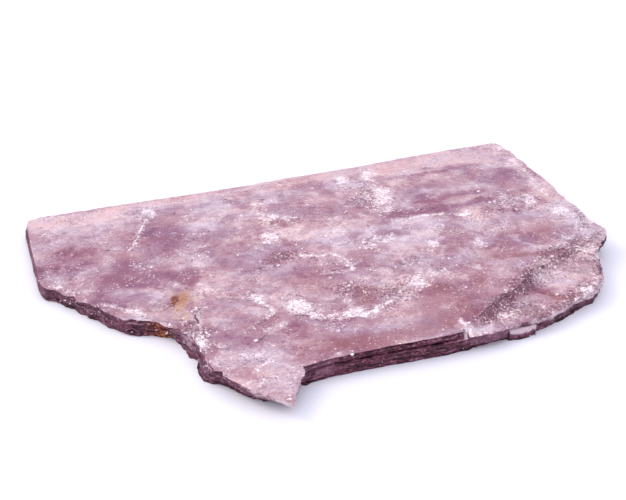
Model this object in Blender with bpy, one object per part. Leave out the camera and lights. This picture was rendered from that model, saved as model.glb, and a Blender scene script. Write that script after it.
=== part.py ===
"""A cleaved slab of lilac mica, lying on its flat cleavage face.

The slab is one natural piece: a book of flat sheets that broke off along its rim, so every sheet ends
at its own ragged edge.  Each sheet is a thin plate.  The plates are fused into one solid, and the book
is then tapered, because it is thinner on the left than on the right.

Plan positions are millimetres from the book's back left corner, X along the back edge and Y away from
the front.  Heights in the flat book are millimetres too, before the taper.
"""

import random

import bmesh
import bpy
from mathutils import Matrix, Vector

MM = 0.001

# Overall size (mm)
BOOK_HEIGHT = 2.8
THICKNESS_AT_LEFT = 2.0
THICKNESS_GAIN = 0.019
SHEET_OVERLAP = 0.03
FLAKE_ROOT = 0.25
WELD = 0.01
CORNER_WANDER = 0.5
SEED = 20

# Where one sheet ends and the next begins, as shares of the book's height
UNDERSIDE_TOP = 0.07
SOLE_TOP = 0.25
GROOVE_TOP = 0.305
MIDDLE_SPLIT = 0.46
TERRACE_TOP = 0.625
UPPER_SPLIT = 0.76
UPPER_TOP = 0.9

# How coarsely a broken edge is chipped: the chips' spacing and depth (mm)
RAGGED = (1.0, 0.26)
CHIPPED = (1.3, 0.16)
SPLIT = (2.6, 0.07)

# The rim, counter-clockwise from the back left corner: the corner points of each stretch
LEFT_SIDE = [(0.0, 0.5), (-0.45, -0.7), (-0.45, -6.0), (-0.3, -12.0), (-0.1, -17.0)]
LEFT_FRONT = [(0.3, -18.2), (1.6, -19.1), (3.5, -21.7), (5.7, -24.9), (7.1, -27.0), (8.5, -28.8),
              (10.1, -29.7), (12.2, -30.8)]
INNER_CORNER_AT_BASE = [(13.5, -31.2), (14.0, -33.0), (14.4, -34.9), (15.3, -36.8), (14.9, -39.2)]
INNER_CORNER_AT_TOP = [(13.3, -32.2), (14.6, -33.8), (15.4, -35.0), (15.5, -37.1), (15.9, -38.8)]
SPUR_AT_BASE = [(15.1, -40.5), (16.0, -41.6), (17.4, -42.6), (18.6, -44.5), (19.9, -45.6),
                (21.2, -46.5), (22.6, -46.6), (23.6, -45.6), (24.4, -44.7)]
SPUR_AT_TOP = [(15.6, -40.3), (15.9, -42.1), (16.8, -43.3), (17.8, -44.9), (18.9, -46.7),
               (20.5, -48.4), (22.3, -50.6), (23.9, -47.3), (25.3, -44.8)]
FRONT = [(26.2, -44.6), (28.9, -44.3), (33.0, -44.3), (38.0, -44.45), (42.0, -44.55)]
RIGHT_FRONT = [(45.2, -44.3), (47.6, -43.9), (50.6, -43.7), (54.6, -43.4), (56.6, -42.8),
               (58.8, -41.9), (62.0, -40.6), (63.9, -40.0), (65.1, -38.8), (66.7, -36.6),
               (67.6, -34.6)]
RIGHT_TIP = [(68.6, -32.4), (70.6, -30.4), (72.4, -28.8), (71.9, -26.8)]
RIGHT_SIDE = [(71.9, -24.2), (71.8, -20.0), (72.3, -14.0), (72.2, -8.0), (72.5, -3.0), (72.3, 0.6)]
BACK = [(71.6, 1.7), (65.0, 1.7), (55.0, 1.2), (45.0, 0.8), (24.0, 0.9), (12.0, 1.2), (1.8, 0.8)]

# Where the sheets of one group end short of the rim
SOLE_TIP = [(68.4, -32.4), (69.3, -30.6), (70.0, -28.6), (70.6, -26.4)]
TERRACE_LEDGE = [(43.9, -44.3), (44.7, -43.5), (46.3, -42.5), (48.0, -41.3), (49.4, -40.3),
                 (51.2, -39.3), (53.2, -38.5), (55.0, -37.5), (56.6, -36.0), (57.8, -34.9),
                 (60.5, -34.4), (62.4, -33.3)]
UPPER_TIP = [(63.9, -32.3), (65.8, -32.2), (66.5, -33.3), (67.3, -34.0), (68.3, -32.9),
             (70.0, -31.5), (71.6, -30.0), (72.4, -28.4), (72.0, -26.6)]
SKIN_TIP = [(63.1, -31.8), (64.2, -31.5), (65.7, -30.6), (67.1, -29.5), (68.4, -28.5),
            (69.5, -26.7), (70.8, -25.0)]
SKIN_BACK = [(71.6, 1.7), (65.0, 1.7), (55.0, 1.2), (45.0, 0.8), (33.0, 0.7), (30.6, -1.3),
             (26.0, -1.8), (16.0, -1.8), (9.5, -1.2), (7.4, 0.9), (1.8, 0.8)]
SKIN_LEFT_FRONT = [(0.9, -16.4), (2.4, -18.0), (3.9, -20.6), (5.8, -24.2), (7.3, -26.8),
                   (8.7, -28.4), (10.2, -29.5), (12.2, -30.8)]

# Short pieces of sheet at the rim: the shares of the book's height they lie between, and outline
BLOCKS = {
    "long_block": (0.27, 0.68, [(44.8, -42.3), (45.1, -43.1), (44.8, -44.6), (47.2, -44.75),
                                (49.6, -44.5), (49.1, -42.3)]),
    "low_block": (0.0, 0.42, [(49.9, -42.6), (50.0, -44.3), (52.0, -44.25), (53.6, -44.05),
                              (53.4, -42.4)]),
    "terrace_sheet": (0.55, 0.69, [(56.8, -36.6), (56.7, -38.6), (58.0, -39.8), (59.6, -40.5),
                                   (61.2, -41.4), (63.2, -40.5), (64.4, -39.6), (65.7, -37.9),
                                   (66.9, -36.0), (67.3, -34.2), (65.8, -31.4), (61.0, -32.6),
                                   (58.4, -33.8)]),
}

# Flakes proud of the top face: how high the raised side stands (mm), the distance over which the
# flake sinks into the face (mm), and the outline, raised side first
FLAKES = {
    "left_flake": (0.22, 9.0, [(12.1, -13.0), (14.3, -8.0), (15.2, -5.8), (16.0, -4.0),
                               (17.0, -3.4), (15.0, -1.9), (10.0, -2.4), (6.0, -5.0),
                               (5.2, -9.0), (7.4, -11.6), (10.4, -12.4)]),
    "crack_flake": (0.2, 8.5, [(15.9, -34.8), (17.3, -29.0), (20.0, -28.2), (24.0, -30.5),
                               (25.5, -35.0), (22.0, -38.5), (17.6, -38.6), (16.4, -36.6)]),
    "ridge_flake": (0.14, 3.4, [(52.4, -31.1), (47.0, -31.0), (44.0, -32.1), (41.0, -34.1),
                                (38.0, -36.1), (39.4, -32.6), (43.0, -30.0), (49.0, -28.4),
                                (53.0, -29.0)]),
    "jagged_flake": (0.17, 4.6, [(30.4, -36.9), (33.6, -37.6), (35.2, -36.4), (37.4, -37.0),
                                 (38.2, -34.6), (35.4, -32.9), (31.4, -33.4), (29.8, -35.0)]),
    "small_flake": (0.16, 3.0, [(27.3, -34.4), (29.0, -35.6), (30.4, -33.8), (29.2, -32.0),
                                (27.6, -32.4)]),
    "curved_flake": (0.15, 4.6, [(37.6, -26.6), (36.4, -22.8), (34.0, -22.1), (31.8, -24.4),
                                 (33.0, -27.0)]),
    "back_flake": (0.16, 3.8, [(49.4, -11.2), (46.0, -10.6), (45.8, -7.8), (48.0, -6.6),
                               (50.2, -8.2)]),
    "right_flake": (0.2, 8.2, [(60.4, -18.8), (60.2, -15.0), (64.0, -13.6), (69.4, -15.0),
                               (69.2, -19.8), (64.6, -20.4)]),
    "mid_right_flake": (0.16, 6.4, [(53.6, -27.2), (54.4, -23.8), (60.0, -23.4), (61.2, -26.4),
                                    (57.4, -28.4)]),
}


def book_thickness(x):
    """Return the finished book's thickness (mm) at a distance x along it."""
    return THICKNESS_AT_LEFT + THICKNESS_GAIN * x


def between(low_route, high_route, share):
    """Return the route that lies at a share of the way from one route to another."""
    return [Vector(a).lerp(Vector(b), share) for a, b in zip(low_route, high_route)]


def rim(level, inset=None, **reroutes):
    """Return the rim's stretches at a level of the book, from 0 at the base to 1 at the top.

    Each stretch is its corner points, its chipping and how far the sheet stays back from the rim.
    A keyword with a stretch's name gives that stretch another route.
    """
    inset = inset or {}
    stretches = {
        "left_side": (LEFT_SIDE, SPLIT),
        "left_front": (LEFT_FRONT, RAGGED),
        "inner_corner": (between(INNER_CORNER_AT_BASE, INNER_CORNER_AT_TOP, level), RAGGED),
        "spur": (between(SPUR_AT_BASE, SPUR_AT_TOP, level), RAGGED),
        "front": (FRONT, SPLIT),
        "right_front": (RIGHT_FRONT, CHIPPED),
        "right_tip": (RIGHT_TIP, CHIPPED),
        "right_side": (RIGHT_SIDE, CHIPPED),
        "back": (BACK, SPLIT),
    }
    stay_back = {name: inset.get(name, inset.get("all", 0.0)) for name in stretches}
    return [
        (reroutes.get(name, route), chipping, stay_back[name])
        for name, (route, chipping) in stretches.items()
    ]


def outward(start, end):
    """Return the unit vector that points out of a counter-clockwise outline's side."""
    along = (end - start).normalized()
    return Vector((along.y, -along.x))


def broken_outline(stretches, rng):
    """Return one closed outline (mm) that follows the stretches and is chipped as they say."""
    corners = [
        (Vector(point), chipping, inset) for route, chipping, inset in stretches for point in route
    ]
    outline = []
    for index, (start, (pitch, depth), inset) in enumerate(corners):
        before = corners[index - 1][0]
        end = corners[(index + 1) % len(corners)][0]
        side = outward(start, end)
        corner_side = (side + outward(before, start)).normalized()
        outline.append(start - corner_side * (inset + CORNER_WANDER * rng.uniform(-depth, depth)))
        steps = max(1, round((end - start).length / pitch))
        for step in range(1, steps):
            share = (step + rng.uniform(-0.33, 0.33)) / steps
            outline.append(start.lerp(end, share) - side * (inset + rng.uniform(-depth, depth)))
    return outline


def new_material(name, color, roughness):
    """Return a Principled material of one colour."""
    material = bpy.data.materials.new(name)
    material.use_nodes = True
    shader = material.node_tree.nodes["Principled BSDF"]
    shader.inputs["Base Color"].default_value = (*color, 1.0)
    shader.inputs["Roughness"].default_value = roughness
    shader.inputs["Metallic"].default_value = 0.0
    return material


def new_collection(name):
    """Return a new collection in the scene."""
    collection = bpy.data.collections.new(name)
    bpy.context.scene.collection.children.link(collection)
    return collection


def new_plate(name, outline, low, high, collection):
    """Return a flat plate with the outline (mm) between two heights (mm), as a closed mesh."""
    curve = bpy.data.curves.new(name, "CURVE")
    curve.dimensions = "2D"
    curve.fill_mode = "BOTH"
    curve.extrude = (high - low) / 2 * MM
    spline = curve.splines.new("POLY")
    spline.points.add(len(outline) - 1)
    spline.use_cyclic_u = True
    for point, place in zip(spline.points, outline):
        point.co = (place[0] * MM, place[1] * MM, 0.0, 1.0)
    drawn = bpy.data.objects.new(name + "_outline", curve)
    drawn.location.z = (low + high) / 2 * MM
    collection.objects.link(drawn)
    bpy.context.view_layer.update()

    evaluated = drawn.evaluated_get(bpy.context.evaluated_depsgraph_get())
    mesh = bpy.data.meshes.new_from_object(evaluated)
    mesh.transform(drawn.matrix_world)
    bpy.data.objects.remove(drawn)
    solid = bmesh.new()
    solid.from_mesh(mesh)
    bmesh.ops.remove_doubles(solid, verts=solid.verts, dist=WELD * MM)
    bmesh.ops.dissolve_limit(solid, angle_limit=0.001, verts=solid.verts, edges=solid.edges)
    bmesh.ops.recalc_face_normals(solid, faces=solid.faces)
    solid.to_mesh(mesh)
    solid.free()
    mesh.shade_flat()
    plate = bpy.data.objects.new(name, mesh)
    collection.objects.link(plate)
    return plate


def new_sheet(name, low, high, stretches, collection):
    """Return one sheet of the book between two shares of the book's height."""
    rng = random.Random(f"{name} {SEED}")
    outline = broken_outline(stretches, rng)
    bottom = low * BOOK_HEIGHT - (SHEET_OVERLAP if low > 0 else 0.0)
    return new_plate(name, outline, bottom, high * BOOK_HEIGHT, collection)


def new_flake(name, outline, lift, fall_to, collection):
    """Return a thin plate that stands proud of the book's top by lift (mm) at its first side.

    The first two points of the outline are the raised side.  The plate dips into the book at a
    distance fall_to (mm) from that side.
    """
    first, second = Vector(outline[0]), Vector(outline[1])
    along = (second - first).normalized()
    inward = sum((Vector(point) for point in outline), Vector((0.0, 0.0))) / len(outline) - first
    down = -1 if along.cross(inward) > 0 else 1
    slope = Matrix.Rotation(down * lift / fall_to, 4, Vector((along.x, along.y, 0.0)))
    plate = new_plate(name, outline, -lift - FLAKE_ROOT, 0.0, collection)
    raised_side = Vector((first.x, first.y, 0.0)) * MM
    top = Vector((0.0, 0.0, (BOOK_HEIGHT + lift) * MM))
    plate.data.transform(Matrix.Translation(raised_side + top) @ slope @ Matrix.Translation(-raised_side))
    return plate


def book_sheets(collection):
    """Return the sheets that run through the whole book, from the base up."""
    hidden_ledges = {"left_side": 1.4, "right_side": 1.3, "right_tip": 1.0, "back": 1.8}
    sheets = [
        ("underside", 0.0, UNDERSIDE_TOP, rim(0.0, hidden_ledges, right_tip=SOLE_TIP)),
        ("sole", UNDERSIDE_TOP, SOLE_TOP,
         rim(0.1, {"left_side": 0.15, "back": 0.2}, right_tip=SOLE_TIP)),
        ("groove", SOLE_TOP, GROOVE_TOP, rim(0.25, {"all": 0.34}, right_tip=SOLE_TIP)),
        ("middle_low", GROOVE_TOP, MIDDLE_SPLIT, rim(0.4, {"front": -0.12})),
        ("middle_high", MIDDLE_SPLIT, TERRACE_TOP,
         rim(0.6, {"front": -0.05, "right_front": -0.25, "left_side": 0.2})),
        ("upper_low", TERRACE_TOP, UPPER_SPLIT,
         rim(0.75, {"front": 0.2, "left_side": 0.3},
             right_front=TERRACE_LEDGE, right_tip=UPPER_TIP)),
        ("upper_high", UPPER_SPLIT, UPPER_TOP,
         rim(0.9, {"left_front": 0.1, "left_side": 0.3},
             right_front=TERRACE_LEDGE, right_tip=UPPER_TIP)),
        ("skin", UPPER_TOP, 1.0,
         rim(1.0, {"front": 0.12, "spur": 0.12, "left_side": 0.35}, left_front=SKIN_LEFT_FRONT,
             right_front=TERRACE_LEDGE, right_tip=SKIN_TIP, back=SKIN_BACK)),
    ]
    return [new_sheet(*sheet, collection) for sheet in sheets]


def rim_blocks(collection):
    """Return the pieces of sheet at the rim: two blocks proud of the front wall, one on the terrace."""
    return [
        new_plate(name, outline, low * BOOK_HEIGHT, high * BOOK_HEIGHT, collection)
        for name, (low, high, outline) in BLOCKS.items()
    ]


def top_flakes(collection):
    """Return the cleavage flakes that stand a little proud of the book's top face."""
    return [
        new_flake(name, outline, lift, fall_to, collection)
        for name, (lift, fall_to, outline) in FLAKES.items()
    ]


def fuse(name, pieces, collection):
    """Return one solid made of the overlapping pieces, and hide the pieces."""
    first, *others = pieces
    solid = bpy.data.objects.new(name, first.data.copy())
    collection.objects.link(solid)
    for piece in others:
        join = solid.modifiers.new(piece.name, "BOOLEAN")
        join.operation = "UNION"
        join.solver = "EXACT"
        join.object = piece
    bpy.context.view_layer.update()
    evaluated = solid.evaluated_get(bpy.context.evaluated_depsgraph_get())
    mesh = bpy.data.meshes.new_from_object(evaluated)
    solid.modifiers.clear()
    solid.data = mesh
    mesh.name = name
    for piece in pieces:
        piece.hide_render = True
        piece.display_type = "WIRE"
        piece.hide_set(True)
    return solid


def taper_and_centre(solid):
    """Taper the flat book to its real thickness, and put the middle of its base at the origin."""
    shape = bmesh.new()
    shape.from_mesh(solid.data)
    bmesh.ops.remove_doubles(shape, verts=shape.verts, dist=WELD * MM)
    for vertex in shape.verts:
        vertex.co.z *= book_thickness(vertex.co.x / MM) / BOOK_HEIGHT
    bmesh.ops.triangulate(shape, faces=shape.faces)
    low = [min(vertex.co[axis] for vertex in shape.verts) for axis in range(3)]
    high = [max(vertex.co[axis] for vertex in shape.verts) for axis in range(3)]
    middle = Vector(((low[0] + high[0]) / 2, (low[1] + high[1]) / 2, low[2]))
    bmesh.ops.translate(shape, verts=shape.verts, vec=-middle)
    shape.to_mesh(solid.data)
    shape.free()


def main():
    for old in list(bpy.data.objects):
        bpy.data.objects.remove(old)
    crystal_parts = new_collection("mica_crystal")
    guides = new_collection("sheets_before_fusing")
    pieces = book_sheets(guides) + rim_blocks(guides) + top_flakes(guides)
    crystal = fuse("mica_crystal", pieces, crystal_parts)
    taper_and_centre(crystal)
    crystal.data.materials.append(new_material("lilac_mica", (0.53, 0.34, 0.43), 0.35))


main()
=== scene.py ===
"""Looks of a cleaved slab of lilac mica: a book of thin sheets that lies on its cleavage face.

The slab's visible skin is cut out of the frame's solid: it is refined, broken into fine cleavage
steps and thin laminae, painted with soft zones of tint, and dressed with a pearly mica finish.  Thin
flakes stand on its top face.

Lengths are metres.  Plan places are millimetres from the slab's back left corner, X along the back
edge and Y towards the back, so that places in front of the back edge have a negative Y.
"""

import logging
import math
import random
from dataclasses import dataclass, field
from enum import Enum
from typing import Optional, Sequence, Union

import bmesh
import bpy
import numpy as np
from bmesh.types import BMesh, BMFace, BMVert
from mathutils import Euler, Matrix, Vector, kdtree, noise


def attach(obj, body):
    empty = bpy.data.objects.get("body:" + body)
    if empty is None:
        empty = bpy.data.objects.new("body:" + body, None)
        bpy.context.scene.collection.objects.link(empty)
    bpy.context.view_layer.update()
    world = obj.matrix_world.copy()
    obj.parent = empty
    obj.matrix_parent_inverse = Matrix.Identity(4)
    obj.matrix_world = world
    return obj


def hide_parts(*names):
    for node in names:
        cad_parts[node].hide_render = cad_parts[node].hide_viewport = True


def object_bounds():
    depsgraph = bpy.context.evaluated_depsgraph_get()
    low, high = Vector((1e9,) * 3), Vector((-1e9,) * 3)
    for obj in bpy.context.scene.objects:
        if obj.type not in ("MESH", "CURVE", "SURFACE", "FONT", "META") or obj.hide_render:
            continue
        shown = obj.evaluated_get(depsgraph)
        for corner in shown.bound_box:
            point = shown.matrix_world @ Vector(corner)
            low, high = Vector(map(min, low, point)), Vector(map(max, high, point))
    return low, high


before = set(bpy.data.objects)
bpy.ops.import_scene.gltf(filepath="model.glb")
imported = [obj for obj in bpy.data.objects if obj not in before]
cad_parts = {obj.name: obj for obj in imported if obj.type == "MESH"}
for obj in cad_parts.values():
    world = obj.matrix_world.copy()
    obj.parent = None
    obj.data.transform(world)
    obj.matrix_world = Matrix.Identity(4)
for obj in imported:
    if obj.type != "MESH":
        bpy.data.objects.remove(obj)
CAD_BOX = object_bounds()

MM = 0.001
CRYSTAL_NODE = "mica_crystal"
CRYSTAL_SLOT = "lilac_mica"
MICA_IOR = 1.56
BOOK_TOP = 1.003  # the level in the book above which a point is on a raised flake

Color = tuple[float, float, float]
Operand = Union["Flow", float]

log = logging.getLogger("mica")


def srgb(red: int, green: int, blue: int) -> Color:
    """Turn a colour as a screen shows it into the linear colour that a shader takes.

    Args:
        red: Red, 0 to 255.
        green: Green, 0 to 255.
        blue: Blue, 0 to 255.

    Returns:
        The linear colour, each channel 0 to 1.
    """
    def linear(channel: int) -> float:
        """Return one channel in linear light."""
        value = channel / 255.0
        return value / 12.92 if value <= 0.04045 else ((value + 0.055) / 1.055) ** 2.4

    return linear(red), linear(green), linear(blue)


def smoothstep(low: float, high: float, value: np.ndarray) -> np.ndarray:
    """Return values eased from 0 at low to 1 at high.

    Args:
        low: Where the result is 0.
        high: Where the result is 1.
        value: The values to ease.

    Returns:
        The eased values, 0 to 1.
    """
    share = np.clip((value - low) / (high - low), 0.0, 1.0)
    return share * share * (3.0 - 2.0 * share)


def noise_at(*place: float) -> float:
    """Return smooth noise, about -1 to 1, at a place in pattern units."""
    return noise.noise(Vector(place))


def plan_tree(vertices: Sequence[BMVert]) -> kdtree.KDTree:
    """Make a search tree of vertices as the plan shows them, flat on the floor.

    Args:
        vertices: The vertices, which the tree knows by their index.

    Returns:
        The tree.
    """
    tree = kdtree.KDTree(len(vertices))
    for vertex in vertices:
        tree.insert((vertex.co.x, vertex.co.y, 0.0), vertex.index)
    tree.balance()
    return tree


def keep_mesh(name: str, shape: BMesh) -> bpy.types.Mesh:
    """Write a shape into a new mesh, and free the shape.

    Args:
        name: The mesh's name.
        shape: The shape.

    Returns:
        The mesh.
    """
    mesh = bpy.data.meshes.new(name)
    shape.to_mesh(mesh)
    shape.free()
    return mesh


def put_in_scene(name: str, data: bpy.types.ID) -> bpy.types.Object:
    """Make an object and put it in the scene.

    Args:
        name: The object's name.
        data: Its mesh, lamp or camera.

    Returns:
        The object.
    """
    made = bpy.data.objects.new(name, data)
    bpy.context.scene.collection.objects.link(made)
    return made


# --------------------------------------------------------------------------------------------------
# Plan frame
# --------------------------------------------------------------------------------------------------


@dataclass(frozen=True)
class PlanFrame:
    """Where the slab's back left corner is, and how thick the book is along its length."""

    left_overhang: float = 0.507
    back_overhang: float = 1.739
    thickness_at_left: float = 2.0
    thickness_gain: float = 0.019

    @property
    def corner(self) -> Vector:
        """Return the back left corner on the floor, in metres."""
        low, high = CAD_BOX
        return Vector((low.x + self.left_overhang * MM, high.y - self.back_overhang * MM, 0.0))

    def place(self, x: float, y: float, z: float = 0.0) -> Vector:
        """Return a plan place (mm) as a point in metres."""
        return self.corner + Vector((x, y, z)) * MM

    def thickness(self, x: Union[float, np.ndarray]) -> Union[float, np.ndarray]:
        """Return the book's thickness (mm) at a plan distance x (mm) along it."""
        return self.thickness_at_left + self.thickness_gain * x

    def plan(self, points: np.ndarray) -> np.ndarray:
        """Return points in metres as plan places and heights in mm, one row each."""
        return (points - np.array(self.corner)) / MM


PLAN = PlanFrame()


# --------------------------------------------------------------------------------------------------
# Shader building
# --------------------------------------------------------------------------------------------------


class Flow:
    """A value that flows through a node tree, and adds Math nodes when it is used in an expression."""

    def __init__(self, graph: "Graph", socket: bpy.types.NodeSocket) -> None:
        """Wrap an output socket of a graph's node."""
        self.graph = graph
        self.socket = socket

    def _math(self, operation: str, *operands: Operand) -> "Flow":
        """Return the result of a Math node on the operands."""
        node = self.graph.node("ShaderNodeMath", {"operation": operation}, dict(enumerate(operands)))
        return Flow(self.graph, node.outputs[0])

    def __add__(self, other: Operand) -> "Flow":
        """Return self + other."""
        return self._math("ADD", self, other)

    __radd__ = __add__

    def __mul__(self, other: Operand) -> "Flow":
        """Return self * other."""
        return self._math("MULTIPLY", self, other)

    __rmul__ = __mul__

    def __sub__(self, other: Operand) -> "Flow":
        """Return self - other."""
        return self._math("SUBTRACT", self, other)

    def __rsub__(self, other: Operand) -> "Flow":
        """Return other - self."""
        return self._math("SUBTRACT", other, self)

    def eased(self, low: float, high: float) -> "Flow":
        """Return the value eased from 0 at low to 1 at high."""
        node = self.graph.node(
            "ShaderNodeMapRange", {"interpolation_type": "SMOOTHSTEP"}, {0: self, 1: low, 2: high}
        )
        return Flow(self.graph, node.outputs[0])

    def clamped(self) -> "Flow":
        """Return the value kept between 0 and 1."""
        node = self.graph.node("ShaderNodeClamp", {}, {0: self})
        return Flow(self.graph, node.outputs[0])


class Graph:
    """A material's node tree, with one method that makes any node."""

    def __init__(self, name: str) -> None:
        """Start a material with an empty tree and an output.

        Args:
            name: The material's name.
        """
        self.material = bpy.data.materials.new(name)
        self.material.use_nodes = True
        self.tree = self.material.node_tree
        self.tree.nodes.clear()
        self.output = self.tree.nodes.new("ShaderNodeOutputMaterial")

    def node(
        self,
        kind: str,
        settings: Optional[dict[str, object]] = None,
        inputs: Optional[dict[Union[str, int], object]] = None,
    ) -> bpy.types.Node:
        """Make a node.

        Args:
            kind: The node's type.
            settings: The node's own settings, such as a Math node's operation.
            inputs: What goes into its sockets, by name or place: a Flow, a socket or a plain value.

        Returns:
            The node.
        """
        made = self.tree.nodes.new(kind)
        for name, value in (settings or {}).items():
            setattr(made, name, value)
        for name, value in (inputs or {}).items():
            source = value.socket if isinstance(value, Flow) else value
            if isinstance(source, bpy.types.NodeSocket):
                self.tree.links.new(source, made.inputs[name])
            else:
                made.inputs[name].default_value = source
        return made

    def flow(self, node: bpy.types.Node, output: Union[str, int] = 0) -> Flow:
        """Return one of a node's outputs as a Flow."""
        return Flow(self, node.outputs[output])

    def attribute(self, name: str) -> Flow:
        """Return a painted mask of the mesh as a Flow."""
        return self.flow(self.node("ShaderNodeAttribute", {"attribute_name": name}), "Fac")

    def mapped(self, place: Flow, **values: Sequence[float]) -> Flow:
        """Return a place after a Mapping node's Location, Rotation and Scale."""
        settings = {"vector_type": "POINT"}
        return self.flow(self.node("ShaderNodeMapping", settings, {"Vector": place, **values}))

    def place(self, scale: Sequence[float], turn: float = 0.0) -> Flow:
        """Read the surface's place, turned about Z and scaled.

        Args:
            scale: Pattern units per millimetre along the three axes, after the turn.
            turn: The turn about Z, in degrees.

        Returns:
            The place as a vector.
        """
        metres = self.flow(self.node("ShaderNodeTexCoord"), "Object")
        turned = self.mapped(metres, Rotation=(0.0, 0.0, math.radians(-turn)), Scale=(1 / MM,) * 3)
        return self.mapped(turned, Scale=tuple(scale))

    def pattern(
        self, place: Flow, scale: Sequence[float], turn: float = 0.0, shift: Sequence[float] = (0, 0, 0)
    ) -> Flow:
        """Turn a place in mm into pattern units.

        Args:
            place: The place.
            scale: Pattern units per millimetre along the three axes, after the turn.
            turn: The turn about Z, in degrees.
            shift: An offset in pattern units.

        Returns:
            The place as a vector.
        """
        turned = self.mapped(place, Rotation=(0.0, 0.0, math.radians(-turn)))
        return self.mapped(turned, Location=tuple(shift), Scale=tuple(scale))

    def noise(self, place: Flow, detail: float, roughness: float = 0.5, output: str = "Fac") -> Flow:
        """Return fractal noise, about 0.5 on average.

        Args:
            place: Where the pattern is read.
            detail: The number of finer layers.
            roughness: How strong the finer layers are.
            output: "Fac" for a number, or "Color" for three at once.

        Returns:
            The noise.
        """
        node = self.node(
            "ShaderNodeTexNoise",
            {"noise_dimensions": "3D", "normalize": True},
            {"Vector": place, "Scale": 1.0, "Detail": detail, "Roughness": roughness},
        )
        return self.flow(node, output)

    def vector(self, operation: str, *operands: object) -> Flow:
        """Return the result of a Vector Math node on the operands."""
        node = self.node("ShaderNodeVectorMath", {"operation": operation}, dict(enumerate(operands)))
        return self.flow(node)

    def warped(self, scale: float, amount: float, detail: float = 2.0) -> Flow:
        """Return the surface's place in mm, pushed about by slow noise.

        Args:
            scale: The push's frequency, per mm.
            amount: How far it pushes, in mm.
            detail: The number of its finer layers.

        Returns:
            The place as a vector.
        """
        push = self.noise(self.place((scale, scale, scale)), detail, 0.5, "Color")
        push = self.vector("SUBTRACT", push, (0.5, 0.5, 0.5))
        push = self.vector("MULTIPLY", push, (amount, amount, 0.0))
        return self.vector("ADD", self.place((1.0, 1.0, 1.0)), push)

    def cells(self, place: Flow) -> bpy.types.Node:
        """Return a Voronoi node whose cells are about one pattern unit wide."""
        settings = {"voronoi_dimensions": "3D", "feature": "F1"}
        return self.node("ShaderNodeTexVoronoi", settings, {"Vector": place, "Scale": 1.0})

    def mix(self, under: Union[Flow, Color], over: Union[Flow, Color], share: Operand) -> Flow:
        """Lay one colour over another.

        Args:
            under: The colour below.
            over: The colour laid over it.
            share: How much of the upper colour shows, 0 to 1.

        Returns:
            The mixed colour.
        """
        def colour(value: Union[Flow, Color]) -> object:
            """Return a colour as a socket's value."""
            return value if isinstance(value, Flow) else (*value, 1.0)

        node = self.node(
            "ShaderNodeMix",
            {"data_type": "RGBA", "blend_type": "MIX", "clamp_factor": True},
            {0: share, 6: colour(under), 7: colour(over)},
        )
        return self.flow(node, 2)

    def shade(self, under: Flow, amount: Operand) -> Flow:
        """Return a colour multiplied by a number."""
        node = self.node("ShaderNodeVectorMath", {"operation": "SCALE"}, {0: under, "Scale": amount})
        return self.flow(node)

    def surface(self, values: dict[str, object]) -> bpy.types.NodeSocket:
        """Return a plain surface's shader with these values."""
        return self.node("ShaderNodeBsdfPrincipled", {}, values).outputs[0]

    def finished(self, shader: bpy.types.NodeSocket) -> bpy.types.Material:
        """Show a shader and return the material."""
        self.tree.links.new(shader, self.output.inputs["Surface"])
        return self.material


# --------------------------------------------------------------------------------------------------
# Marks on the slab
# --------------------------------------------------------------------------------------------------


class Tint(Enum):
    """What a mark on the slab shows; each is a painted mask of the mesh."""

    FROST = "frost"
    VIOLET = "violet"
    PALE = "pale"
    BLUSH_AND_SHEEN = "blush_and_sheen"
    ROSE_AND_SHADOW = "rose_and_shadow"
    SMOKE = "smoke"
    OCHRE = "ochre"
    RUST = "rust"
    CRACK_AND_SHADE = "crack"
    CRUMBLE = "crumble"
    GRIT = "grit"
    PALE_AND_LIT_WALL = "pale_and_lit_wall"
    STAINED_WALL = "stained_wall"


@dataclass(frozen=True)
class Zone:
    """A soft oval mark on the slab.

    Attributes:
        x: Its middle along the back edge, in mm.
        y: Its middle towards the back, in mm.
        length: Its half length, in mm.
        width: Its half width, in mm.
        turn: The angle of its length from the X axis, in degrees.
        strength: How strong it is at its middle.
    """

    x: float
    y: float
    length: float
    width: float
    turn: float = 0.0
    strength: float = 1.0

    def amount(self, x: np.ndarray, y: np.ndarray) -> np.ndarray:
        """Work out the zone's strength.

        Args:
            x: Plan places along the back edge, in mm.
            y: Plan places towards the back, in mm.

        Returns:
            The strength at each place.
        """
        cos, sin = math.cos(math.radians(self.turn)), math.sin(math.radians(self.turn))
        along = ((x - self.x) * cos + (y - self.y) * sin) / self.length
        across = ((y - self.y) * cos - (x - self.x) * sin) / self.width
        return self.strength * np.exp(-(along * along + across * across))


@dataclass(frozen=True)
class Stroke:
    """A soft line along a few plan places.

    Attributes:
        width: Its half width, in mm.
        strength: How strong it is along its middle.
        route: The plan places that it runs through, in mm.
    """

    width: float
    strength: float
    route: tuple[tuple[float, float], ...]

    def amount(self, x: np.ndarray, y: np.ndarray) -> np.ndarray:
        """Work out the line's strength.

        Args:
            x: Plan places along the back edge, in mm.
            y: Plan places towards the back, in mm.

        Returns:
            The strength at each place.
        """
        nearest = np.full(len(x), np.inf)
        for (x0, y0), (x1, y1) in zip(self.route, self.route[1:]):
            dx, dy = x1 - x0, y1 - y0
            share = np.clip(((x - x0) * dx + (y - y0) * dy) / (dx * dx + dy * dy), 0.0, 1.0)
            nearest = np.minimum(nearest, np.hypot(x - x0 - share * dx, y - y0 - share * dy))
        return self.strength * np.exp(-((nearest / self.width) ** 2))


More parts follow.
